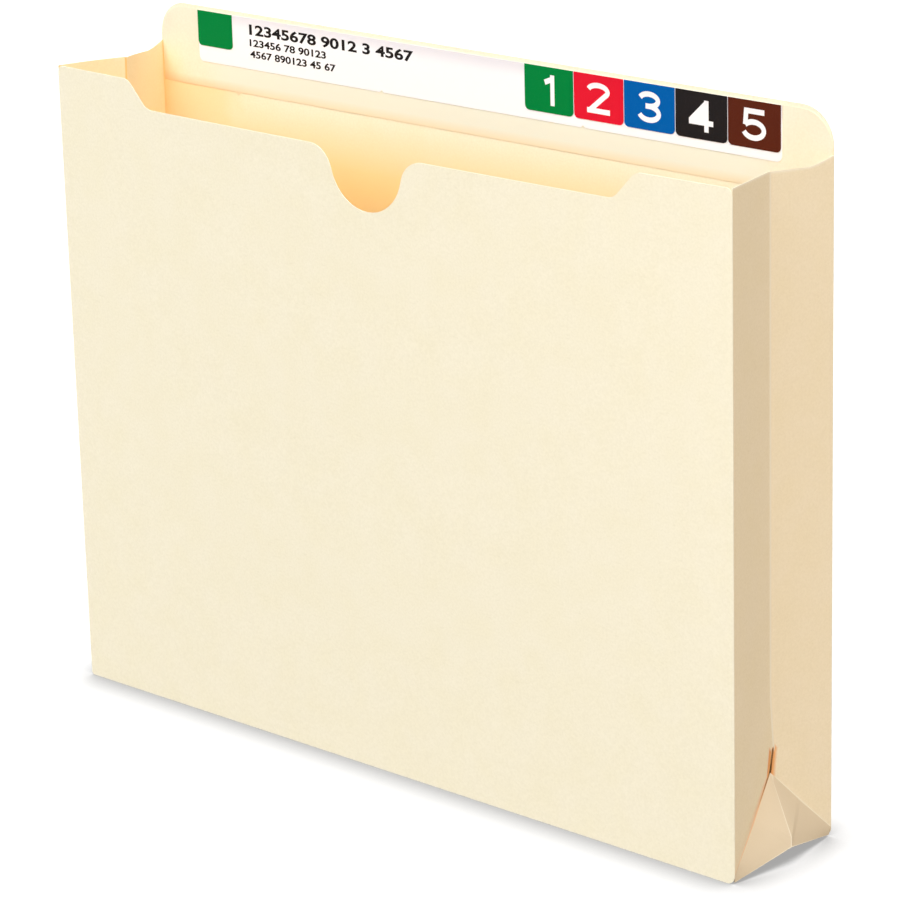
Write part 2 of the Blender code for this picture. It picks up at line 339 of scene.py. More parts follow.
def label_ink(name, ink):
    """Offset ink on coated label paper: a deep even colour, with specks where the paper shows through."""
    white = settings()[1].white
    material, tree, shader = new_material(f"{name}_label_ink")
    place = add(tree, "ShaderNodeTexCoord").outputs["Object"]
    specks = add(tree, "ShaderNodeTexNoise", {"Vector": place, "Scale": per_mm(0.6), "Detail": 3.0})
    showing = add(tree, "ShaderNodeMapRange", {
        "Value": specks.outputs["Fac"], "From Min": 0.5, "From Max": 0.85, "To Max": 0.006})
    face = add(tree, "ShaderNodeMix", {0: showing.outputs[0], 6: ink, 7: white}, data_type="RGBA")
    tree.links.new(face.outputs[2], shader.inputs["Base Color"])
    dullness = add(tree, "ShaderNodeMapRange", {
        "Value": specks.outputs["Fac"], "To Min": 0.42, "To Max": 0.6})
    tree.links.new(dullness.outputs[0], shader.inputs["Roughness"])
    shader.inputs["Specular IOR Level"].default_value = 0.04
    return material


def finish_named(name, make, *values):
    """A material by name, made the first time it is asked for."""
    return bpy.data.materials.get(name) or make(*values)


def manila():
    """The paper of every folded piece."""
    return finish_named("manila_tagboard", manila_tagboard)


def white_label():
    """The paper of the label strip, and the white of the digits."""
    return finish_named("coated_label_paper", coated_label)


def ink_of(name):
    """The label ink of this name."""
    return finish_named(f"{name}_label_ink", label_ink, name, getattr(settings()[1], name))


# Mesh tools


def share(value, low, high):
    """Where value lies from low to high, from 0 to 1."""
    return min(1.0, max(0.0, (value - low) / (high - low)))


def fold_distance(x):
    """How far a place is from the nearest side fold; the better lit right one counts as further away."""
    return min(HALF_WIDTH + x, HALF_WIDTH - x + LIT_FOLD_EXTRA)


def painted_fold_shade(height, from_fold):
    """How much painted shade shows close to a side fold, by height and distance from the fold."""
    depth = FRONT_HIGH.z - height
    return FOLD_TONE * share(depth, *FOLD_DEPTHS) * (1.0 - share(from_fold, *FOLD_REACH))


def painted_inner_shade(height, from_fold):
    """How much painted inner shade shows at a height and a distance from the nearest side fold."""
    depth = FRONT_HIGH.z - height
    deep = share(depth, *DEEP_DEPTHS)
    end = END_TONE * share(depth, *END_DEPTHS) * (1.0 - share(from_fold, *END_REACH))
    near = max(deep, end, painted_fold_shade(height, from_fold))
    return near * (1.0 - FADED_SHARE * share(depth, *FADED_DEPTHS))


def placed(name, data):
    """A new object with this data, in the scene."""
    made = bpy.data.objects.new(name, data)
    bpy.context.scene.collection.objects.link(made)
    return made


def plain_mesh(carrier):
    """The mesh that an object shows, in place of the object."""
    graph = bpy.context.evaluated_depsgraph_get()
    mesh = bpy.data.meshes.new_from_object(carrier.evaluated_get(graph), depsgraph=graph)
    bpy.data.objects.remove(carrier)
    return mesh


def tint_layers(shape, *names):
    """A new layer of shares for each of these tints, on a shape's points."""
    return [shape.verts.layers.float.new(name) for name in names]


def nib(x, level, width, rise):
    """Three points of a small nib on a level edge, its tip this far up."""
    return [(x - width / 2.0, level), (x, level + rise), (x + width / 2.0, level)]


def bridge(shape, one, two):
    """Joins two rows of as many points with four-sided faces."""
    for i in range(len(one) - 1):
        shape.faces.new((one[i], one[i + 1], two[i + 1], two[i]))


def thicken(shape, depth):
    """Makes a flat shape a closed sheet that reaches this far along Y."""
    grown = bmesh.ops.extrude_face_region(shape, geom=shape.faces[:])
    far_side = [part for part in grown["geom"] if isinstance(part, bmesh.types.BMVert)]
    bmesh.ops.translate(shape, verts=far_side, vec=(0.0, depth, 0.0))


def finished_piece(name, shape, material, crisp=28.0):
    """A piece at the origin from a bmesh, its faces outwards and its folds over crisp degrees sharp."""
    bmesh.ops.recalc_face_normals(shape, faces=shape.faces)
    mesh = bpy.data.meshes.new(name)
    shape.to_mesh(mesh)
    shape.free()
    mesh.shade_smooth()
    mesh.set_sharp_from_angle(angle=math.radians(crisp))
    mesh.materials.append(material)
    return placed(name, mesh)


def stand_for(piece, slot, *nodes):
    """Hides the nodes that a piece is seen in place of and gives back the piece; slot is not used."""
    if nodes:
        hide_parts(*nodes)
    return piece


def tint(piece, name, amount):
    """Gives each point of a piece its share, amount(place), of the tint of this name."""
    layer = piece.data.attributes.new(name, "FLOAT", "POINT")
    for vert in piece.data.vertices:
        layer.data[vert.index].value = amount(vert.co)


def face_outline(node, facing):
    """The outline of a flat node's face that looks along facing, as (x, z) points in order."""
    shape = bmesh.new()
    shape.from_mesh(frame["nodes"][node].data)
    bmesh.ops.remove_doubles(shape, verts=shape.verts, dist=WELD)
    face = {part for part in shape.faces if part.normal.dot(facing) > 0.9}
    rim = [edge for edge in shape.edges if sum(part in face for part in edge.link_faces) == 1]
    follow = {}
    for edge in rim:
        loop = next(corner for corner in edge.link_loops if corner.face in face)
        follow[loop.vert] = loop.link_loop_next.vert
    start = rim[0].verts[0]
    points = [start]
    while follow[points[-1]] is not start:
        points.append(follow[points[-1]])
    outline = [(vert.co.x, vert.co.z) for vert in points]
    shape.free()
    return outline


def arc(centre, radius, start, end, rise=None, steps=ARC_STEPS):
    """Points on an arc, both ends included, angles in degrees from +X towards +Z; rise makes it an oval."""
    points = []
    for step in range(steps + 1):
        angle = math.radians(start + (end - start) * step / steps)
        height = (rise or radius) * math.sin(angle)
        points.append((centre[0] + radius * math.cos(angle), centre[1] + height))
    return points


def foot_rounded(outline):
    """A panel's outline whose two lowest corners are rounded."""
    paper = settings()[0]
    left = min(x for x, z in outline)
    right = max(x for x, z in outline)
    low = min(z for x, z in outline)
    turns = zip(outline, outline[1:] + outline[:1])
    clockwise = sum(a[0] * b[1] - b[0] * a[1] for a, b in turns) < 0.0
    points = []
    for x, z in outline:
        on_left = x < 0.5 * (left + right)
        radius = paper.left_corner if on_left else paper.right_corner
        if z > low + radius:
            points.append((x, z))
            continue
        centre = (left + radius if on_left else right - radius, low + radius)
        start = 180.0 if on_left else 270.0
        corner = arc(centre, radius, start, start + 90.0)
        points.extend(reversed(corner) if clockwise else corner)
    return points


def panel(name, outline, near, far, material, rim=0.0, shift=None, inner=None, tone=painted_inner_shade):
    """A flat sheet from its outline, from near to far along Y, with a paler rim that is partly painted
    highlight, bent by shift(x, z).

    inner is the Y of the face that looks into the jacket, and tone gives its painted inner shade.
    """
    shape = bmesh.new()
    cut, inside = tint_layers(shape, "cut", "inside")
    face = shape.faces.new([shape.verts.new((x, near, z)) for x, z in outline])
    outer = set(shape.verts)
    if rim > 0.0:
        bmesh.ops.inset_region(shape, faces=[face], thickness=rim, use_boundary=True, use_even_offset=True)
    for axis in ((1.0, 0.0, 0.0), (0.0, 0.0, 1.0)):
        direction = Vector(axis)
        reach = [vert.co.dot(direction) for vert in shape.verts]
        step = math.floor(min(reach) / GRID_STEP) + 1
        while step * GRID_STEP < max(reach):
            bmesh.ops.bisect_plane(
                shape, geom=shape.verts[:] + shape.edges[:] + shape.faces[:], dist=WELD,
                plane_co=direction * step * GRID_STEP, plane_no=direction)
            step += 1
    for edge in shape.edges:
        if edge.is_boundary:
            outer.update(edge.verts)
    for vert in outer:
        vert[cut] = 1.0 if rim > 0.0 else 0.0
    thicken(shape, far - near)
    for vert in shape.verts:
        if inner is not None and abs(vert.co.y - inner) < STOCK / 4.0:
            vert[inside] = tone(vert.co.z, fold_distance(vert.co.x))
        if shift:
            vert.co.y += shift(vert.co.x, vert.co.z)
    return finished_piece(name, shape, material)


# Folded pieces


def pleat_stations(plate, score, near_crease=()):
    """Distances from a pleat half's fold, with a pressed line at each end and extra ones near the crease."""
    last = plate - score / 2.0
    spread = [plate * step / BEND_STEPS for step in range(1, BEND_STEPS - 1)]
    pressed = 0.9 * score
    return [0.0, pressed] + spread + [plate - gap for gap in near_crease] + [last]


def plate_length(fold_out, crease_out, fold_y):
    """The flat width of a pleat's half between its fold and its crease."""
    return math.sqrt((crease_out - fold_out) ** 2 + fold_y ** 2 - STOCK ** 2)


def pleat_section(fold_out, crease_out, fold_y, distances, lean=0.0):
    """A pleat's outer and inner points as (out, y), from back fold to front fold, and its end beads.

    A half's inner face holds its fold's axis and its outer face holds the crease's axis. The paper bends
    by lean further in towards the crease.
    """
    across = Vector((crease_out - fold_out, -fold_y))
    turn = Matrix.Rotation(-math.asin(STOCK / across.length), 2)
    along = (turn @ across).normalized()
    normal = Vector((-along.y, along.x))
    fold = Vector((fold_out, fold_y))
    back = []
    for s in distances:
        inner = fold + along * s - Vector((lean * (s / distances[-1]) ** 3, 0.0))
        back.append((inner + normal * STOCK, inner))
    front = [(Vector((o.x, -o.y)), Vector((i.x, -i.y))) for o, i in reversed(back)]
    strip = [tuple(back[-1][k].lerp(front[0][k], t) for k in (0, 1)) for t in (0.25, 0.5, 0.75)]
    bead = []
    bead_turn = math.radians(100.0)
    for step in range(1, ARC_STEPS):
        angle = bead_turn * step / ARC_STEPS
        bead.append(fold + (normal * math.cos(angle) - along * math.sin(angle)) * STOCK)
    return back + strip + front, bead


def row_heights(bottom, knee, top):
    """Rows from a cut at the bottom to the level row at the knee, and on to the cut at the top."""
    rim_width = 0.4 * MM
    below_top = 1.0 * MM
    rim = bottom + rim_width
    lows = [bottom] + [rim + (knee - rim) * part for part in (0.0, 0.15, 0.3, 0.5, 0.7, 0.85, 1.0)]
    highs = [top - below_top, top - rim_width, top]
    spread = [knee + (highs[0] - knee) * step / ROW_COUNT for step in range(1, ROW_COUNT)]
    return lows + spread + highs


def pleat(name, material, distances, section, low, knee, high, place, tints):
    """A pleat as one closed sheet: section(height) at each row, between low(s, half) and high(s, half).

    Its rows are level from the knee up. half is 1 on the back half, -1 on the front half and between
    them on the pressed line. place turns (out, y, height) into a point, and tints(row, height, s, half)
    gives a point its cut and torn tints.
    """
    shape = bmesh.new()
    cut, torn, inside = tint_layers(shape, "cut", "torn", "inside")
    stations = [(s, 1.0) for s in distances]
    stations += [(distances[-1], half) for half in (0.5, 0.0, -0.5)]
    stations += [(s, -1.0) for s in reversed(distances)]
    columns = [row_heights(low(s, half), knee, high(s, half)) for s, half in stations]
    count = len(stations)
    rows = range(len(columns[0]))

    def made(row, index, pick):
        s, half = stations[index]
        height = columns[index][row]
        points, bead = section(height)
        out, y = pick(points, bead)
        vert = shape.verts.new(place(out, y, height))
        vert[cut], vert[torn] = tints(min(row, row - len(rows), key=abs), height, s, half)
        return vert

    outer, inner, first_bead, last_bead = [], [], [], []
    for row in rows:
        outer.append([made(row, i, lambda points, bead: points[i][0]) for i in range(count)])
        inner.append([made(row, i, lambda points, bead: points[i][1]) for i in range(count)])
        # Painted shade on the inner faces: full along the pressed lines, and part of the painted inner shade
        # elsewhere
        for vert, (s, half) in zip(inner[-1], stations):
            pressed = s == 0.0 or abs(half) < 1.0
            vert[inside] = PRESSED_LINE_SHADE if pressed else GUSSET_SHADE * painted_inner_shade(vert.co.z, BESIDE_FOLD)
            vert[cut] = 0.0
        first_bead.append([made(row, 0, lambda points, bead: bead[k]) for k in range(ARC_STEPS - 1)])
        last_bead.append([
            made(row, count - 1, lambda points, bead: (bead[k].x, -bead[k].y)) for k in range(ARC_STEPS - 1)])
    rings = []
    for row in rows:
        rings.append(outer[row] + last_bead[row] + inner[row][::-1] + first_bead[row][::-1])
    for one, two in zip(rings, rings[1:]):
        bridge(shape, one + one[:1], two + two[:1])
    for row in (rows[0], rows[-1]):
        bridge(shape, outer[row], inner[row])
        shape.faces.new([outer[row][0]] + first_bead[row] + [inner[row][0]])
        shape.faces.new([outer[row][-1]] + last_bead[row] + [inner[row][-1]])
    return finished_piece(name, shape, material, crisp=3.0)


def corner_fold(name, material, foot, apex, heel, toe_high, toe_low, hinge_normal):
    """A fold from its hinge, foot to apex, out to its ridge and to its lower edge, heel to toe."""
    bulge = 0.25 * MM
    hinge_steps = 14
    line = 0.035
    corner_weld = 0.004 * MM
    normal = (apex - foot).cross(toe_high - foot).normalized()
    if normal.dot(foot - Vector((0.0, 0.0, toe_high.z))) < 0.0:
        normal.negate()
    free_path = [heel, toe_low, toe_high, apex]
    spans = [(b - a).length for a, b in zip(free_path, free_path[1:])]
    knees = [spans[0] / sum(spans), (spans[0] + spans[1]) / sum(spans)]
    samples = sorted({step / hinge_steps for step in range(hinge_steps + 1)} | set(knees))
    across = [0.0, line] + [step / BEND_STEPS for step in range(1, BEND_STEPS)] + [1.0 - line, 1.0]

    def free_point(t):
        rest = t * sum(spans)
        for a, b, span in zip(free_path, free_path[1:], spans):
            if rest <= span:
                return a.lerp(b, rest / span)
            rest -= span
        return apex.copy()

    shape = bmesh.new()
    cut, torn, handled = tint_layers(shape, "cut", "torn", "handled")
    layers = []
    for depth in (0.0, STOCK):
        rows = []
        for t in samples:
            row = []
            for u in across:
                point = foot.lerp(apex, t).lerp(free_point(t), u)
                point += normal * bulge * 4.0 * u * (1.0 - u) * math.sin(math.pi * t)
                lean = (normal + hinge_normal).normalized() if u == 0.0 else normal
                point -= lean * depth
                if u == 1.0 and t >= knees[0]:
                    point.y = toe_high.y
                vert = shape.verts.new(point)
                # Painted shade greys the corner folds' faces; the ridge and the back folds' hinges get a
                # painted highlight, and the front folds' hinges an orange line
                vert[handled] = CORNER_SHADE
                vert[torn] = CORNER_HINGE_LINE if u == 0.0 and foot.y < 0.0 else 0.0
                vert[cut] = 1.0 if u == 1.0 or (u == 0.0 and foot.y > 0.0) else 0.0
                row.append(vert)
            rows.append(row)
        layers.append(rows)
    for rows in layers:
        for one, two in zip(rows, rows[1:]):
            bridge(shape, one, two)
    near, far = layers
    for end in (0, -1):
        bridge(shape, [row[end] for row in near], [row[end] for row in far])
        bridge(shape, near[end], far[end])
    bmesh.ops.remove_doubles(shape, verts=shape.verts, dist=corner_weld)
    bmesh.ops.dissolve_degenerate(shape, edges=shape.edges, dist=corner_weld)
    return finished_piece(name, shape, material)


def bend_at_crease(piece, back, front):
    """Makes a pleat stand for its two halves, and bakes its place into its mesh."""
    band = settings()[0].score_width / 2.0
    stand_for(piece, "manila", back, front)
    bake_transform(piece)


def front_shift(x, z):
    """How far the bowed front panel stands forward of its flat plane."""
    bow = settings()[0].front_bow
    across = 1.0 - min(1.0, abs(x) / HALF_WIDTH) ** 2
    up = share(z, 0.0, FRONT_HIGH.z)
    return -bow * across * up ** 1.5


class JACKET_OT_back_panel(bpy.types.Operator):
    """Makes the back panel and the second ply inside its tab"""

    bl_idname = "jacket.back_panel"
    bl_label = "Back panel and tab ply"

    def execute(self, context):
        paper = settings()[0]
        outline = foot_rounded(face_outline("back_panel", Vector((0.0, -1.0, 0.0))))
        back = panel(
            "back_sheet", outline, BACK_LOW.y, BACK_HIGH.y, manila(), paper.rim_width, inner=BACK_LOW.y)
        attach(stand_for(back, "manila", "back_panel"), "back")

        # The ply tapers to nothing at the side folds, so that the gussets can fold flat on it
        end = SIDE_FOLD.x - 0.4 * MM
        low, top = PLY_LOW.z, PLY_HIGH.z
        radius = 11.0 * MM
        foot_taper, foot_share = 3.0 * MM, 0.4
        top_taper, top_share = 1.2 * MM, 0.2
        end_taper = PLY_LOW.x + SIDE_FOLD.x
        pressed_in = 0.92 * (BACK_LOW.y - PLY_LOW.y)
        edge_top = low + 0.1 * MM
        under = BACK_LOW.y - 2.0 * SHEET_GAP
        nib_x = -111.3 * MM
        edge_shadow_from = 100.0 * MM
        label_fade = 12.0 * MM

        def pressed(x, z):
            at_foot = foot_share + (1.0 - foot_share) * share(z, low, low + foot_taper)
            at_top = top_share + (1.0 - top_share) * share(top - z, 0.0, top_taper)
            return pressed_in * (1.0 - min(share(end - abs(x), 0.0, end_taper), at_foot, at_top))

        # Painted shade beside the folds, and a painted shadow line along the ply's lower edge, which the
        # orange tint deepens towards the left end
        def ply_painted_shade(height, from_fold):
            return max(PLY_EDGE_SHADOW if height < edge_top else 0.0, painted_fold_shade(height, from_fold))

        def edge_shadow(place):
            return PLY_EDGE_SHADOW * share(-place.x, edge_shadow_from, end) if place.z < edge_top else 0.0

        def under_label(place):
            return 1.0 - share(abs(place.x), STRIP_HIGH.x - label_fade, STRIP_HIGH.x)

        tooth = nib(nib_x, low, paper.tooth_width, -paper.tooth_depth)
        right = arc((end - radius, top - radius), radius, 0.0, 90.0)
        left = arc((radius - end, top - radius), radius, 90.0, 180.0)
        outline = [(-end, low)] + tooth + [(end, low)] + right + left
        ply = panel(
            "tab_ply_sheet", outline, PLY_LOW.y, under, manila(),
            shift=pressed, inner=PLY_LOW.y, tone=ply_painted_shade)
        tint(ply, "torn", edge_shadow)
        tint(ply, "ply", under_label)
        tint(ply, "handled", lambda place: PLY_WEAR * (1.0 - under_label(place)))
        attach(stand_for(ply, "manila", "tab_ply"), "back")
        return {"FINISHED"}


class JACKET_OT_front_panel(bpy.types.Operator):
    """Makes the bowed front panel and the two glued flaps behind it"""

    bl_idname = "jacket.front_panel"
    bl_label = "Front panel and seam flaps"

    def execute(self, context):
        paper = settings()[0]
        outline = foot_rounded(face_outline("front_panel", Vector((0.0, -1.0, 0.0))))
        inner = FRONT_HIGH.y
        rim = paper.rim_width
        front = panel("front_sheet", outline, FRONT_LOW.y, inner, manila(), rim, front_shift, inner)
        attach(stand_for(front, "manila", "front_panel"), "front")
        for side_name, side in SIDES:
            node = f"{side_name}_seam_flap"
            low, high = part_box(node)
            slant = high.x - low.x
            outer, inner = (high.x, low.x) if side > 0.0 else (low.x, high.x)
            corners = [(outer, low.z), (inner, low.z + slant), (inner, high.z - slant), (outer, high.z)]
            flap = panel(f"{node}_sheet", corners, low.y, high.y, manila(), rim, front_shift, high.y)
            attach(stand_for(flap, "manila", node), "front")
        return {"FINISHED"}


class JACKET_OT_gussets(bpy.types.Operator):
    """Makes the two side gussets, each one sheet folded at its crease"""

    bl_idname = "jacket.gussets"
    bl_label = "Side gussets"

    def execute(self, context):
        paper = settings()[0]
        foot = CORNER_FOOT.z
        mouth = FRONT_HIGH.z
        fillet, fillet_rise, fillet_curve = 9.0 * MM, 2.2 * MM, 1.3
        front_dip, dip_fade = 0.4 * MM, 0.6
        lip, beside_lip = 1.4 * MM, 0.3 * MM
        tolerance = 0.1 * MM
        lean_from = 90.0 * MM
        slant_fade, slant_reach = 18.0 * MM, 8.0 * MM
        # The lowest row's pale tint is a painted highlight along the corner folds, the top rows' pale rim is
        # partly painted highlight, and the crease tint is a painted highlight along the pressed line
        rim_and_fold_highlights = {0: 0.8, -2: 0.6, -1: 1.0}
        crease_highlight, lip_tint = 0.8, 0.9
        # The torn tint of the front half's two lowest rows, and how much more of it shows beside the slit
        torn_rows = {0: (0.35, 0.55), 1: (0.1, 0.4)}
        plate = plate_length(*SIDE_PLEAT)
        slit_side = plate - paper.slit_width
        slit_top = foot + plate + paper.slit_rise
        knee = slit_top + 1.5 * MM
        slit_lip = paper.slit_width + lip
        lip_reach = 1.05 * lip
        open_reach = 0.6 * paper.slit_reach
        beside_slit = (slit_lip + beside_lip, slit_lip, paper.slit_width)
        distances = pleat_stations(plate, paper.score_width, beside_slit)

        def high(s, half):
            if half < 0.0:
                return mouth - front_dip * share(s, 0.0, SIDE_FOLD.y)
            dip = paper.mouth_dip * (1.0 - dip_fade * share(s, fillet, SIDE_FOLD.y))
            return mouth - dip + fillet_rise * (1.0 - share(s, 0.0, fillet)) ** fillet_curve

        def low(s, half):
            if half <= 0.0 and s > slit_side + tolerance:
                return slit_top
            gap = share(s, plate - paper.slit_reach, plate - open_reach)
            return foot + s + (paper.slit_gap * gap if half < 0.0 else 0.0)

        def tints(row, height, s, half):
            cut = rim_and_fold_highlights.get(row, 0.0)
            beside = s > slit_side - (lip_reach if half < 0.0 else tolerance)
            if beside and height < slit_top + tolerance / 2.0:
                return 0.0, lip_tint
            reach = share(s, plate - 2.0 * paper.slit_reach, plate - paper.slit_reach)
            least, more = torn_rows.get(row, (0.0, 0.0)) if half < 0.0 else (0.0, 0.0)
            return max(cut, crease_highlight if abs(half) < 1.0 else 0.0), least + more * reach

        for side_name, side in SIDES:
            # The lean stays small, so that the crease keeps between the panels when they close
            lean = paper.crease_lean if side < 0.0 else 0.0

            def section(height):
                inward = lean * share(height, lean_from, mouth) ** 2
                return pleat_section(*SIDE_PLEAT, distances, inward)

            def place(out, y, height):
                up = share(height, foot + plate, slit_top) - share(height, slit_top, slit_top + slant_fade)
                beside = 1.0 - share(abs(y), 0.0, slant_reach)
                return Vector((side * out, y + paper.slit_slant * up * beside, height))

            name = f"{side_name}_gusset"
            gusset = pleat(f"{name}_sheet", manila(), distances, section, low, knee, high, place, tints)
            bend_at_crease(gusset, f"{name}_back", f"{name}_front")
        return {"FINISHED"}


class JACKET_OT_corner_folds(bpy.types.Operator):
    """Makes the four three-sided folds at the gussets' feet"""

    bl_idname = "jacket.corner_folds"
    bl_label = "Corner folds"

    def execute(self, context):
        paper = settings()[0]
        foot = CORNER_FOOT
        apex = foot + CORNER_AXIS * (foot.y / -CORNER_AXIS.y)
        toe_high = Vector((HALF_WIDTH + paper.ridge_reach, 0.0, paper.ridge_high))
        toe_low = Vector((HALF_WIDTH + paper.ridge_reach, 0.0, paper.ridge_low))
        # The heel stays close to the foot, so that it keeps inside the panels when they close
        heel_in, heel_back, heel_height = 0.45 * MM, 0.3 * MM, 0.6 * MM
        heel = Vector((foot.x - heel_in, foot.y - heel_back, heel_height))
        hinge_normal = Vector((foot.y, SIDE_CREASE.x - foot.x, 0.0)).normalized()
        for side_name, side in SIDES:
            for half_name, half in HALVES:
                turned = Matrix.Diagonal((side, half, 1.0))
                points = [turned @ point for point in (foot, apex, heel, toe_high, toe_low, hinge_normal)]
                node = f"{side_name}_corner_{half_name}"
                fold = corner_fold(f"{node}_sheet", manila(), *points)
                stand_for(fold, "manila", node)
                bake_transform(fold)
        return {"FINISHED"}


class JACKET_OT_bottom(bpy.types.Operator):
    """Makes the pleated bottom, one sheet folded at its crease"""

    bl_idname = "jacket.bottom"
    bl_label = "Pleated bottom"

    def execute(self, context):
        paper = settings()[0]
        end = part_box("bottom_back")[1].x
        corner = paper.right_corner

        def high(s, half):
            return end - corner * (1.0 - share(s, 0.0, corner)) ** 2

        def low(s, half):
            return -high(s, half)

        plate = plate_length(*BOTTOM_PLEAT)
        distances = pleat_stations(plate, paper.score_width)

        def section(along):
            return pleat_section(*BOTTOM_PLEAT, distances)

        def tints(row, along, s, half):
            return (1.0 if row in (0, -1) else 0.0), 0.0

        def place(out, y, along):
            return Vector((along, y, -out))

        knee = 9.5 * MM - end
        bottom = pleat("bottom_sheet", manila(), distances, section, low, knee, high, place, tints)
        bend_at_crease(bottom, "bottom_back", "bottom_front")
        return {"FINISHED"}


# Labels


def patch_tree():
    """A tree that makes one patch: a rectangle with two round lower corners and a thickness."""
    tree = bpy.data.node_groups.new("label_patch", "GeometryNodeTree")
    tree.interface.new_socket("Geometry", in_out="OUTPUT", socket_type="NodeSocketGeometry")
    for name in ("Width", "Height", "Corner", "Thickness"):
        tree.interface.new_socket(name, in_out="INPUT", socket_type="NodeSocketFloat")
    tree.interface.new_socket("Centre", in_out="INPUT", socket_type="NodeSocketVector")
    tree.interface.new_socket("Finish", in_out="INPUT", socket_type="NodeSocketMaterial")
    given = add(tree, "NodeGroupInput").outputs
    outline = add(tree, "GeometryNodeCurvePrimitiveQuadrilateral", {
        "Width": given["Width"], "Height": given["Height"]}, mode="RECTANGLE")
    # The rectangle's third and fourth points are its lower corners
    order = add(tree, "GeometryNodeInputIndex").outputs[0]
    is_low = add(tree, "ShaderNodeMath", {0: order, 1: 1.5}, operation="GREATER_THAN").outputs[0]
    radius = add(tree, "ShaderNodeMath", {0: is_low, 1: given["Corner"]}, operation="MULTIPLY").outputs[0]
    rounded = add(tree, "GeometryNodeFilletCurve", {
        "Curve": outline.outputs[0], "Radius": radius, "Count": 6}, mode="POLY")
    face = add(tree, "GeometryNodeFillCurve", {"Curve": rounded.outputs[0]}, mode="NGONS").outputs[0]
    raised = add(tree, "GeometryNodeExtrudeMesh", {"Mesh": face, "Offset Scale": given["Thickness"]})
    under = add(tree, "GeometryNodeFlipFaces", {"Mesh": face}).outputs[0]
    both = add(tree, "GeometryNodeJoinGeometry", {"Geometry": raised.outputs["Mesh"]})
    tree.links.new(under, both.inputs["Geometry"])
    closed = add(tree, "GeometryNodeMergeByDistance", {"Geometry": both.outputs[0], "Distance": 2.0 * WELD})
    stood = add(tree, "GeometryNodeTransform", {
        "Geometry": closed.outputs[0], "Translation": given["Centre"], "Rotation": (math.pi / 2.0, 0.0, 0.0)})
    real = add(tree, "GeometryNodeRealizeInstances", {"Geometry": stood.outputs[0]}).outputs[0]
    painted = add(tree, "GeometryNodeSetMaterial", {"Geometry": real, "Material": given["Finish"]}).outputs[0]
    add(tree, "NodeGroupOutput", {"Geometry": painted})
    return tree


def grown_piece(name, tree, values):
    """A plain mesh from a tree, with its inputs set by name to these values."""
    grower = placed(f"{name}_grower", bpy.data.meshes.new(f"{name}_seed"))
    modifier = grower.modifiers.new("grow", "NODES")
    modifier.node_group = tree
    for item in tree.interface.items_tree:
        if item.in_out == "INPUT":
            modifier[item.identifier] = values[item.name]
    mesh = plain_mesh(grower)
    mesh.name = name
    return placed(name, mesh)


def stroke(path, width):
    """The outline, anticlockwise, of a flat stroke of this width along a path, with mitred bends."""
    points = [Vector(point) for point in path]
    ways = [(b - a).normalized() for a, b in zip(points, points[1:])]
    left, right = [], []
    for point, before, after in zip(points, ways[:1] + ways, ways + ways[-1:]):
        ahead = (before + after).normalized()
        side = Vector((-ahead.y, ahead.x)) * width / 2.0 / max(0.4, ahead.dot(after))
        left.append(point + side)
        right.append(point - side)
    return right + left[::-1]


def digit_paths(width, height, pen):
    """The middle lines of the digits 1 to 5 in a box of this width and height, for a pen this wide."""
    half = pen / 2.0
    right, top = width - half, height - half
    middle = width / 2.0
    reach = (width - pen) / 2.0
    waist = half + 0.53 * (top - half)
    stem = 0.3 * width
    flag = 0.74 * height
    upper = (top - waist) / 2.0
    lower = (waist - half) / 2.0
    hook = arc((middle, 0.73 * height), reach, 168.0, -40.0, top - 0.73 * height, 20)
    bar = [(middle - 0.14 * width, waist)]
    cross = 0.29 * height
    post = 0.72 * width
    bowl = arc((middle, 0.335 * height), reach, 146.0, -162.0, 0.335 * height - half, 24)
    return (
        [[(stem, 0.0), (stem, height)], [(stem - 0.33 * width, flag), (stem, height - 1.5 * half)]],
        [hook + [(0.62 * pen, 0.4 * pen)], [(0.02 * width, half), (width, half)]],
        [
            arc((middle, waist + upper), 0.93 * reach, 162.0, -90.0, upper, 20) + bar,
            bar + arc((middle, half + lower), reach, 90.0, -164.0, lower, 20),
        ],
        [
            [(post, 0.0), (post, height)],
            [(0.0, cross), (width, cross)],
            [(0.35 * pen, cross + 0.2 * pen), (post, height - 0.45 * pen)],
        ],
        [[(0.93 * width, top), (0.2 * width, top), bowl[0]], bowl],
    )


def printed_digit(name, paths, pen, corner, material):
    """A digit as a thin mesh facing -Y, its strokes joined into one shape, corner being its lower left."""
    points, faces = [], []
    for path in paths:
        outline = stroke(path, pen)
        faces.append(list(range(len(points), len(points) + len(outline))))
        points.extend(outline)
    inside_only = 1
    flat, _, triangles, _, _, _ = delaunay_2d_cdt(points, [], faces, inside_only, WELD)
    shape = bmesh.new()
    verts = [shape.verts.new(corner + Vector((x, SHEET_GAP, z))) for x, z in flat]
    for triangle in triangles:
        shape.faces.new([verts[index] for index in triangle])
    thicken(shape, -2.5 * SHEET_GAP)
    return finished_piece(name, shape, material)


def printed_text(name, body, boldness, width, height, corner, material):
    """Printed numbers as a thin mesh facing -Y, of this width and height, corner being their lower left."""
    capital_share = 0.73
    line = bpy.data.curves.new(name, "FONT")
    line.body = body
    line.size = height / capital_share
    line.offset = boldness
    line.extrude = 1.5 * SHEET_GAP
    line.resolution_u = 6
    mesh = plain_mesh(placed(name, line))
    low = Vector([min(vert.co[axis] for vert in mesh.vertices) for axis in range(3)])
    high = Vector([max(vert.co[axis] for vert in mesh.vertices) for axis in range(3)])
    fitted = Matrix.Diagonal((width / (high.x - low.x), height / (high.y - low.y), 1.0, 1.0))
    centred = Matrix.Translation((-low.x, -low.y, 0.0))
    mesh.transform(Matrix.Translation(corner) @ Matrix.Rotation(math.pi / 2.0, 4, "X") @ fitted @ centred)
    mesh.materials.clear()
    mesh.materials.append(material)
    return placed(name, mesh)


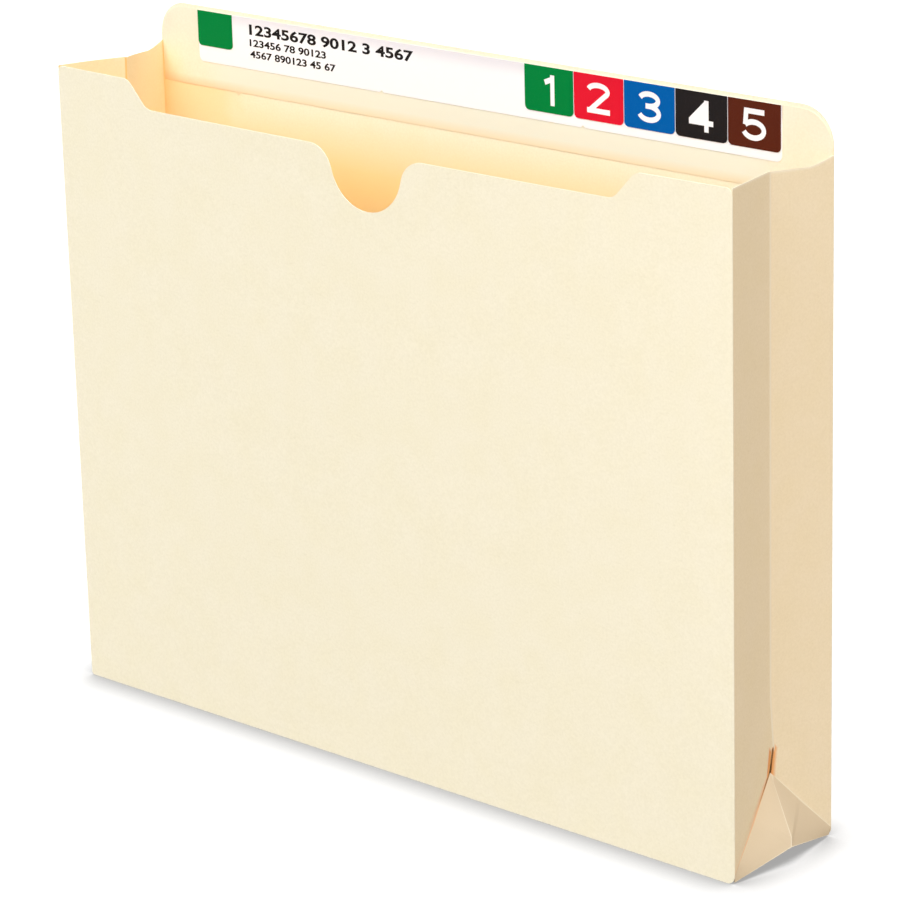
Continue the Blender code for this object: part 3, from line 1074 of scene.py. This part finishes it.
class JACKET_OT_label_strip(bpy.types.Operator):
    """Makes the white label strip with its two nicks"""

    bl_idname = "jacket.label_strip"
    bl_label = "Label strip"

    def execute(self, context):
        labels = settings()[1]
        low, high = STRIP_LOW, STRIP_HIGH
        radius = labels.strip_corner
        bottom = arc((low.x + radius, low.z + radius), radius, 180.0, 270.0)
        nicks = (-41.3 * MM, 48.4 * MM)
        for nick in nicks:
            bottom += nib(nick, low.z, labels.nick_width, labels.nick_depth)
        bottom += arc((high.x - radius, low.z + radius), radius, 270.0, 360.0)
        outline = bottom + [(high.x, high.z), (low.x, high.z)]
        strip = panel("label_strip_sheet", outline, low.y, PLY_LOW.y - SHEET_GAP, white_label())
        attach(stand_for(strip, "label_white", "label_strip"), "back")
        return {"FINISHED"}


class JACKET_OT_patches(bpy.types.Operator):
    """Makes the index patch and the number patches"""

    bl_idname = "jacket.patches"
    bl_label = "Index and number patches"

    def execute(self, context):
        labels = settings()[1]
        tree = patch_tree()
        inks = ("green", "red", "blue", "black", "brown")
        for node, ink in zip(["index_patch"] + NUMBER_PATCHES, ("green",) + inks):
            low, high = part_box(node)
            under = STRIP_LOW.y - SHEET_GAP
            patch = grown_piece(f"{node}_sheet", tree, {
                "Width": high.x - low.x,
                "Height": high.z - low.z,
                "Corner": labels.corner,
                "Thickness": under - low.y,
                "Centre": Vector(((low.x + high.x) / 2.0, under, (low.z + high.z) / 2.0)),
                "Finish": ink_of(ink),
            })
            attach(stand_for(patch, f"patch_{ink}", node), "back")
        return {"FINISHED"}


class JACKET_OT_print(bpy.types.Operator):
    """Prints the white digits on the patches and the number lines on the strip"""

    bl_idname = "jacket.print"
    bl_label = "Printed numbers"

    def execute(self, context):
        labels = settings()[1]
        width, height, pen = labels.digit_width, labels.digit_height, labels.digit_stroke
        for node, paths in zip(NUMBER_PATCHES, digit_paths(width, height, pen)):
            low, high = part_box(node)
            reach = [x for path in paths for x, z in path]
            corner = Vector((
                (low.x + high.x - min(reach) - max(reach)) / 2.0, low.y, (low.z + high.z - height) / 2.0))
            digit = printed_digit(node.replace("number_patch", "digit"), paths, pen, corner, white_label())
            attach(stand_for(digit, "label_white"), "back")
        left = -104.2 * MM
        # Each line's name, words, boldness, width, height and level
        lines = (
            ("number_line_1", labels.first_line, 0.16 * MM, 78.0 * MM, 3.9 * MM, 233.9 * MM),
            ("number_line_2", labels.second_line, 0.1 * MM, 37.0 * MM, 2.65 * MM, 229.9 * MM),
            ("number_line_3", labels.third_line, 0.1 * MM, 41.5 * MM, 2.65 * MM, 225.9 * MM),
        )
        for name, body, boldness, width, height, z in lines:
            corner = Vector((left, STRIP_LOW.y, z))
            line = printed_text(name, body, boldness, width, height, corner, ink_of("black"))
            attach(stand_for(line, "patch_black"), "back")
        return {"FINISHED"}


# Stage


def seen_directly(tree):
    """1 for what the camera sees, also in a reflection or through glass, and 0 for light."""
    path = add(tree, "ShaderNodeLightPath").outputs
    seen = add(tree, "ShaderNodeMath", {
        0: path["Is Camera Ray"], 1: path["Is Glossy Ray"]}, operation="MAXIMUM")
    through = add(tree, "ShaderNodeMath", {
        0: seen.outputs[0], 1: path["Is Transmission Ray"]}, operation="MAXIMUM")
    return through.outputs[0]


class JACKET_OT_stage(bpy.types.Operator):
    """Sets the floor, the white surround, the lamps and the camera"""

    bl_idname = "jacket.stage"
    bl_label = "Stage"

    def execute(self, context):
        self.lay_floor()
        self.light_world(context)
        self.hang_lamps()
        self.place_camera(context)
        return {"FINISHED"}

    def lay_floor(self):
        """A pale floor that the camera sees as white, but for the shadow near what stands on it."""
        stage = settings()[2]
        half_size, below = 4.0, 0.05 * MM
        shape = bmesh.new()
        bmesh.ops.create_grid(shape, x_segments=1, y_segments=1, size=half_size)
        mesh = bpy.data.meshes.new("floor")
        shape.to_mesh(mesh)
        shape.free()
        floor = placed("floor", mesh)
        floor.location.z = -below
        material = bpy.data.materials.new("studio_floor")
        material.use_nodes = True
        tree = material.node_tree
        tree.nodes.clear()
        matte = add(tree, "ShaderNodeBsdfDiffuse", {"Color": stage.floor})
        nearness = add(tree, "ShaderNodeAmbientOcclusion", {"Distance": stage.contact}, samples=16)
        # The shadow is never darker than this, and what the lamps add to the floor stays small
        darkest, lamp_share = 0.42, 0.2
        shade = add(tree, "ShaderNodeMapRange", {
            "Value": nearness.outputs["AO"], "From Min": darkest, "To Min": darkest}).outputs[0]
        lit = add(tree, "ShaderNodeMath", {0: shade, 1: lamp_share}, operation="MULTIPLY")
        pale = add(tree, "ShaderNodeBsdfDiffuse", {"Color": lit.outputs[0]})
        # The floor's own white is a little lower close to the jacket
        near, far, near_white = 0.18, 0.5, 0.87
        place = add(tree, "ShaderNodeTexCoord").outputs["Object"]
        away = add(tree, "ShaderNodeVectorMath", {0: place}, operation="LENGTH").outputs["Value"]
        white = add(tree, "ShaderNodeMapRange", {
            "Value": away, "From Min": near, "From Max": far, "To Min": near_white}).outputs[0]
        glow = add(tree, "ShaderNodeEmission", {"Color": shade, "Strength": white})
        bright = add(tree, "ShaderNodeAddShader", {0: pale.outputs[0], 1: glow.outputs[0]})
        seen = add(tree, "ShaderNodeMixShader", {
            0: seen_directly(tree), 1: matte.outputs[0], 2: bright.outputs[0]})
        add(tree, "ShaderNodeOutputMaterial", {"Surface": seen.outputs[0]})
        mesh.materials.append(material)

    def light_world(self, context):
        """Soft light from all round, seen as white by the camera and in reflections."""
        world = bpy.data.worlds.new("studio_surround")
        context.scene.world = world
        world.use_nodes = True
        tree = world.node_tree
        tree.nodes.clear()
        # The surround is darker to the right, where the room is not lit
        full_level, dark_level = 0.42, 0.2
        way = add(tree, "ShaderNodeTexCoord").outputs["Generated"]
        right = add(tree, "ShaderNodeSeparateXYZ", {"Vector": way}).outputs["X"]
        level = add(tree, "ShaderNodeMapRange", {
            "Value": right, "To Min": full_level, "To Max": dark_level})
        soft = add(tree, "ShaderNodeBackground", {"Color": linear("FFFFFF"), "Strength": level.outputs[0]})
        white = add(tree, "ShaderNodeBackground", {"Color": linear("FFFFFF"), "Strength": 1.0})
        seen = add(tree, "ShaderNodeMixShader", {
            0: seen_directly(tree), 1: soft.outputs[0], 2: white.outputs[0]})
        add(tree, "ShaderNodeOutputWorld", {"Surface": seen.outputs[0]})

    def hang_lamps(self):
        """Each lamp's share is the part of a colour's full value that it gives a surface facing it."""
        aim = Vector((0.0, 0.0, 120.0 * MM))
        distance = 6.0
        # Each lamp's name, azimuth, elevation, width, share and colour
        lamps = (
            ("left_softbox", -20.0, 45.0, 4.8, 0.6, "F8FCFF"),
            ("front_softbox", 20.0, 42.0, 4.0, 0.42, "F8FCFF"),
            ("right_softbox", 72.0, 25.0, 2.4, 0.55, "FFE2C2"),
            ("back_softbox", 215.0, 18.0, 4.0, 0.9, "FFFFFF"),
        )
        for name, azimuth, elevation, width, full, hue in lamps:
            around, up = math.radians(azimuth), math.radians(elevation)
            back = Vector((math.sin(around) * math.cos(up), -math.cos(around) * math.cos(up), math.sin(up)))
            light = bpy.data.lights.new(name, "AREA")
            light.shape = "DISK"
            light.size = width
            light.energy = full * (math.pi * distance) ** 2
            light.color = linear(hue)[:3]
            lamp = placed(name, light)
            lamp.location = aim + back * distance
            lamp.rotation_euler = back.to_track_quat("Z", "Y").to_euler()

    def place_camera(self, context):
        """The photograph's view: from the front right, a little above, turned slightly about its own axis."""
        azimuth, pitch, roll = math.radians(42.83), math.radians(17.69), math.radians(-1.52)
        centre = Vector((856.4 * MM, -914.8 * MM, 508.2 * MM))
        turn = Matrix.Rotation(azimuth, 4, "Z")
        turn @= Matrix.Rotation(math.pi / 2.0 - pitch, 4, "X")
        turn @= Matrix.Rotation(roll, 4, "Z")
        data = bpy.data.cameras.new("camera")
        data.lens = settings()[2].lens
        data.sensor_width = 36.0
        data.dof.use_dof = False
        camera = placed("camera", data)
        camera.matrix_world = Matrix.Translation(centre) @ turn
        context.scene.camera = camera
        context.scene.view_settings.view_transform = "Standard"


OPERATORS = (
    JACKET_OT_stage,
    JACKET_OT_back_panel,
    JACKET_OT_front_panel,
    JACKET_OT_gussets,
    JACKET_OT_corner_folds,
    JACKET_OT_bottom,
    JACKET_OT_label_strip,
    JACKET_OT_patches,
    JACKET_OT_print,
)


class JACKET_PT_sidebar(bpy.types.Panel):
    """Lists the jacket's pieces in the 3D view's sidebar"""

    bl_idname = "JACKET_PT_sidebar"
    bl_label = "File jacket"
    bl_space_type = "VIEW_3D"
    bl_region_type = "UI"
    bl_category = "Jacket"

    def draw(self, context):
        for operator in OPERATORS:
            self.layout.operator(operator.bl_idname)
        for group in settings():
            for name in group.bl_rna.properties.keys():
                if name not in ("rna_type", "name"):
                    self.layout.prop(group, name)


CLASSES = tuple(GROUPS.values()) + OPERATORS + (JACKET_PT_sidebar,)


def register():
    for item in CLASSES:
        bpy.utils.register_class(item)
    for name, group in GROUPS.items():
        setattr(bpy.types.Scene, name, PointerProperty(type=group))


def unregister():
    for name in GROUPS:
        delattr(bpy.types.Scene, name)
    for item in reversed(CLASSES):
        bpy.utils.unregister_class(item)


def main():
    register()
    for operator in OPERATORS:
        group, name = operator.bl_idname.split(".")
        getattr(getattr(bpy.ops, group), name)()


if __name__ == "__main__":
    main()
